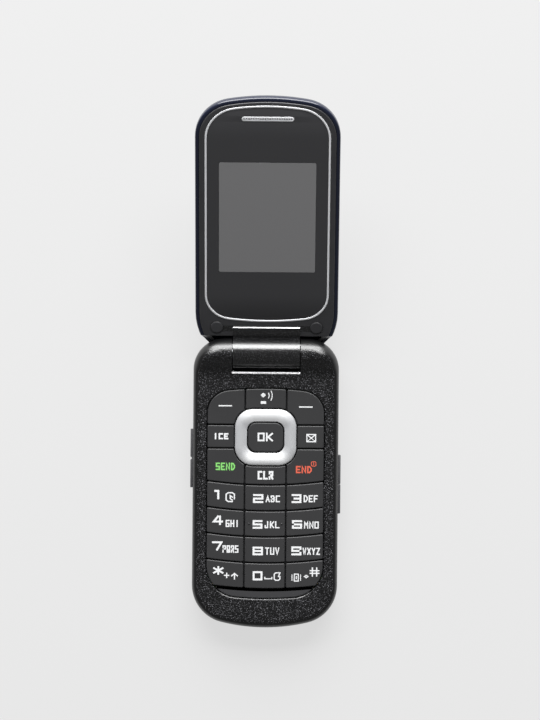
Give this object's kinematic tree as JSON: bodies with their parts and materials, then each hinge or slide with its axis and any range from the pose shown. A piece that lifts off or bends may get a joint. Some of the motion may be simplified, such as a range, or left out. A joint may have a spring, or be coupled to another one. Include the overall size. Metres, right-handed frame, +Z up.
{
  "type": "flip phone",
  "caption": "Flip phone open at its rest angle: keypad base with silver navigation ring, folding lid with screen, central barrel hinge, side keys and socket cover.",
  "frame": {"origin": "middle of the base's length and width, on the back face that the phone lies on", "axes": "+X to the right across the keys, +Y from the keypad end towards the hinge, +Z up out of the keypad face"},
  "size_m": [0.051, 0.1784, 0.0458],
  "materials": {
    "grained_black": "sparkle-grained satin",
    "smooth_black": "smooth satin",
    "lid_black": "smooth satin",
    "face_black": "smooth satin",
    "navy_gloss": "glossy navy",
    "key_plastic": "soft satin",
    "silver_trim": "satin silver",
    "display": "dark grey, switched off",
    "window_gloss": "polished black",
    "mat_rubber": "matte",
    "cover_rubber": "matte",
    "battery_case": "foil-wrapped, bare",
    "contacts": "gold plated",
    "sheet_metal": "pressed",
    "steel": "turned",
    "circuit_board": "solder resist",
    "clear_film": "film",
    "socket_plastic": "moulded",
    "flex_film": "polyimide film"
  },
  "bodies": {
    "base": {"base_front_housing": "grained_black", "base_rear_housing": "smooth_black", "battery": "battery_case", "battery_contacts": "contacts", "sim_sockets": "sheet_metal", "main_board": "circuit_board", "dome_sheet": "clear_film", "keypad_mat": "mat_rubber", "usb_connector": "sheet_metal", "headset_jack": "socket_plastic", "microphone": "sheet_metal", "loudspeaker": "socket_plastic", "vibration_motor": "sheet_metal", "antenna": "contacts", "base_screws": "steel", "hinge_shaft": "steel", "hinge_bush": "steel"},
    "lid": {"lid_inner_housing": "lid_black", "lid_outer_cover": "navy_gloss", "face_panel": "face_black", "silver_line": "silver_trim", "main_display": "display", "earpiece_grille": "silver_trim", "earpiece_speaker": "socket_plastic", "lid_board": "circuit_board", "outer_window": "window_gloss", "outer_display": "display", "camera_module": "socket_plastic", "camera_lens": "window_gloss", "lid_screws": "steel", "screw_plugs": "cover_rubber", "hinge_cartridge": "steel", "flex_cable": "flex_film"},
    "battery_cover": {"battery_cover": "smooth_black"},
    "volume_rocker": {"volume_rocker": "smooth_black"},
    "camera_key": {"camera_key": "smooth_black"},
    "port_cover": {"port_cover": "cover_rubber"},
    "nav_carrier": {"nav_carrier": "key_plastic"},
    "nav_ring": {"nav_ring": "silver_trim"},
    "softkey_left": {"softkey_left": "key_plastic"},
    "softkey_right": {"softkey_right": "key_plastic"},
    "voice_key": {"voice_key": "key_plastic"},
    "ice_key": {"ice_key": "key_plastic"},
    "message_key": {"message_key": "key_plastic"},
    "send_key": {"send_key": "key_plastic"},
    "clear_key": {"clear_key": "key_plastic"},
    "end_key": {"end_key": "key_plastic"},
    "ok_key": {"ok_key": "key_plastic"},
    "key_1": {"key_1": "key_plastic"},
    "key_2": {"key_2": "key_plastic"},
    "key_3": {"key_3": "key_plastic"},
    "key_4": {"key_4": "key_plastic"},
    "key_5": {"key_5": "key_plastic"},
    "key_6": {"key_6": "key_plastic"},
    "key_7": {"key_7": "key_plastic"},
    "key_8": {"key_8": "key_plastic"},
    "key_9": {"key_9": "key_plastic"},
    "key_star": {"key_star": "key_plastic"},
    "key_0": {"key_0": "key_plastic"},
    "key_hash": {"key_hash": "key_plastic"}
  },
  "joints": [
    {"name": "lid_hinge", "type": "hinge", "parent": "base", "child": "lid", "pos_m": [0, 0.04375, 0.0088], "axis": [1, 0, 0], "range_deg": [0, 155]},
    {"name": "battery_cover_slide", "type": "slide", "parent": "base", "child": "battery_cover", "axis": [0, -1, 0], "range_m": [0, 0.008]},
    {"name": "volume_rock", "type": "hinge", "parent": "base", "child": "volume_rocker", "pos_m": [-0.02245, 0.00805, 0.0055], "axis": [0, 0, 1], "range_deg": [-1.5, 1.5], "stiffness_Nm_per_rad": 0.4},
    {"name": "camera_press", "type": "slide", "parent": "base", "child": "camera_key", "axis": [-1, 0, 0], "range_m": [0, 0.0003], "stiffness_N_per_m": 2000},
    {"name": "port_cover_swing", "type": "hinge", "parent": "base", "child": "port_cover", "pos_m": [0.0247, -0.01035, 0.0055], "axis": [0, 0, -1], "range_deg": [0, 90]},
    {"name": "nav_up_down", "type": "hinge", "parent": "base", "child": "nav_carrier", "pos_m": [0, 0.01542, 0.00812], "axis": [1, 0, 0], "range_deg": [-1.2, 1.2], "stiffness_Nm_per_rad": 0.5},
    {"name": "nav_left_right", "type": "hinge", "parent": "nav_carrier", "child": "nav_ring", "pos_m": [0, 0.01542, 0.00873], "axis": [0, 1, 0], "range_deg": [-1.2, 1.2], "stiffness_Nm_per_rad": 0.5},
    {"name": "softkey_left_press", "type": "slide", "parent": "base", "child": "softkey_left", "axis": [0, 0, -1], "range_m": [0, 0.0003], "stiffness_N_per_m": 2000},
    {"name": "softkey_right_press", "type": "slide", "parent": "base", "child": "softkey_right", "axis": [0, 0, -1], "range_m": [0, 0.0003], "stiffness_N_per_m": 2000},
    {"name": "voice_press", "type": "slide", "parent": "base", "child": "voice_key", "axis": [0, 0, -1], "range_m": [0, 0.0003], "stiffness_N_per_m": 2000},
    {"name": "ice_press", "type": "slide", "parent": "base", "child": "ice_key", "axis": [0, 0, -1], "range_m": [0, 0.0003], "stiffness_N_per_m": 2000},
    {"name": "message_press", "type": "slide", "parent": "base", "child": "message_key", "axis": [0, 0, -1], "range_m": [0, 0.0003], "stiffness_N_per_m": 2000},
    {"name": "send_press", "type": "slide", "parent": "base", "child": "send_key", "axis": [0, 0, -1], "range_m": [0, 0.0003], "stiffness_N_per_m": 2000},
    {"name": "clear_press", "type": "slide", "parent": "base", "child": "clear_key", "axis": [0, 0, -1], "range_m": [0, 0.0003], "stiffness_N_per_m": 2000},
    {"name": "end_press", "type": "slide", "parent": "base", "child": "end_key", "axis": [0, 0, -1], "range_m": [0, 0.0003], "stiffness_N_per_m": 2000},
    {"name": "ok_press", "type": "slide", "parent": "base", "child": "ok_key", "axis": [0, 0, -1], "range_m": [0, 0.0003], "stiffness_N_per_m": 2000},
    {"name": "key_1_press", "type": "slide", "parent": "base", "child": "key_1", "axis": [0, 0, -1], "range_m": [0, 0.0003], "stiffness_N_per_m": 2000},
    {"name": "key_2_press", "type": "slide", "parent": "base", "child": "key_2", "axis": [0, 0, -1], "range_m": [0, 0.0003], "stiffness_N_per_m": 2000},
    {"name": "key_3_press", "type": "slide", "parent": "base", "child": "key_3", "axis": [0, 0, -1], "range_m": [0, 0.0003], "stiffness_N_per_m": 2000},
    {"name": "key_4_press", "type": "slide", "parent": "base", "child": "key_4", "axis": [0, 0, -1], "range_m": [0, 0.0003], "stiffness_N_per_m": 2000},
    {"name": "key_5_press", "type": "slide", "parent": "base", "child": "key_5", "axis": [0, 0, -1], "range_m": [0, 0.0003], "stiffness_N_per_m": 2000},
    {"name": "key_6_press", "type": "slide", "parent": "base", "child": "key_6", "axis": [0, 0, -1], "range_m": [0, 0.0003], "stiffness_N_per_m": 2000},
    {"name": "key_7_press", "type": "slide", "parent": "base", "child": "key_7", "axis": [0, 0, -1], "range_m": [0, 0.0003], "stiffness_N_per_m": 2000},
    {"name": "key_8_press", "type": "slide", "parent": "base", "child": "key_8", "axis": [0, 0, -1], "range_m": [0, 0.0003], "stiffness_N_per_m": 2000},
    {"name": "key_9_press", "type": "slide", "parent": "base", "child": "key_9", "axis": [0, 0, -1], "range_m": [0, 0.0003], "stiffness_N_per_m": 2000},
    {"name": "key_star_press", "type": "slide", "parent": "base", "child": "key_star", "axis": [0, 0, -1], "range_m": [0, 0.0003], "stiffness_N_per_m": 2000},
    {"name": "key_0_press", "type": "slide", "parent": "base", "child": "key_0", "axis": [0, 0, -1], "range_m": [0, 0.0003], "stiffness_N_per_m": 2000},
    {"name": "key_hash_press", "type": "slide", "parent": "base", "child": "key_hash", "axis": [0, 0, -1], "range_m": [0, 0.0003], "stiffness_N_per_m": 2000}
  ]
}
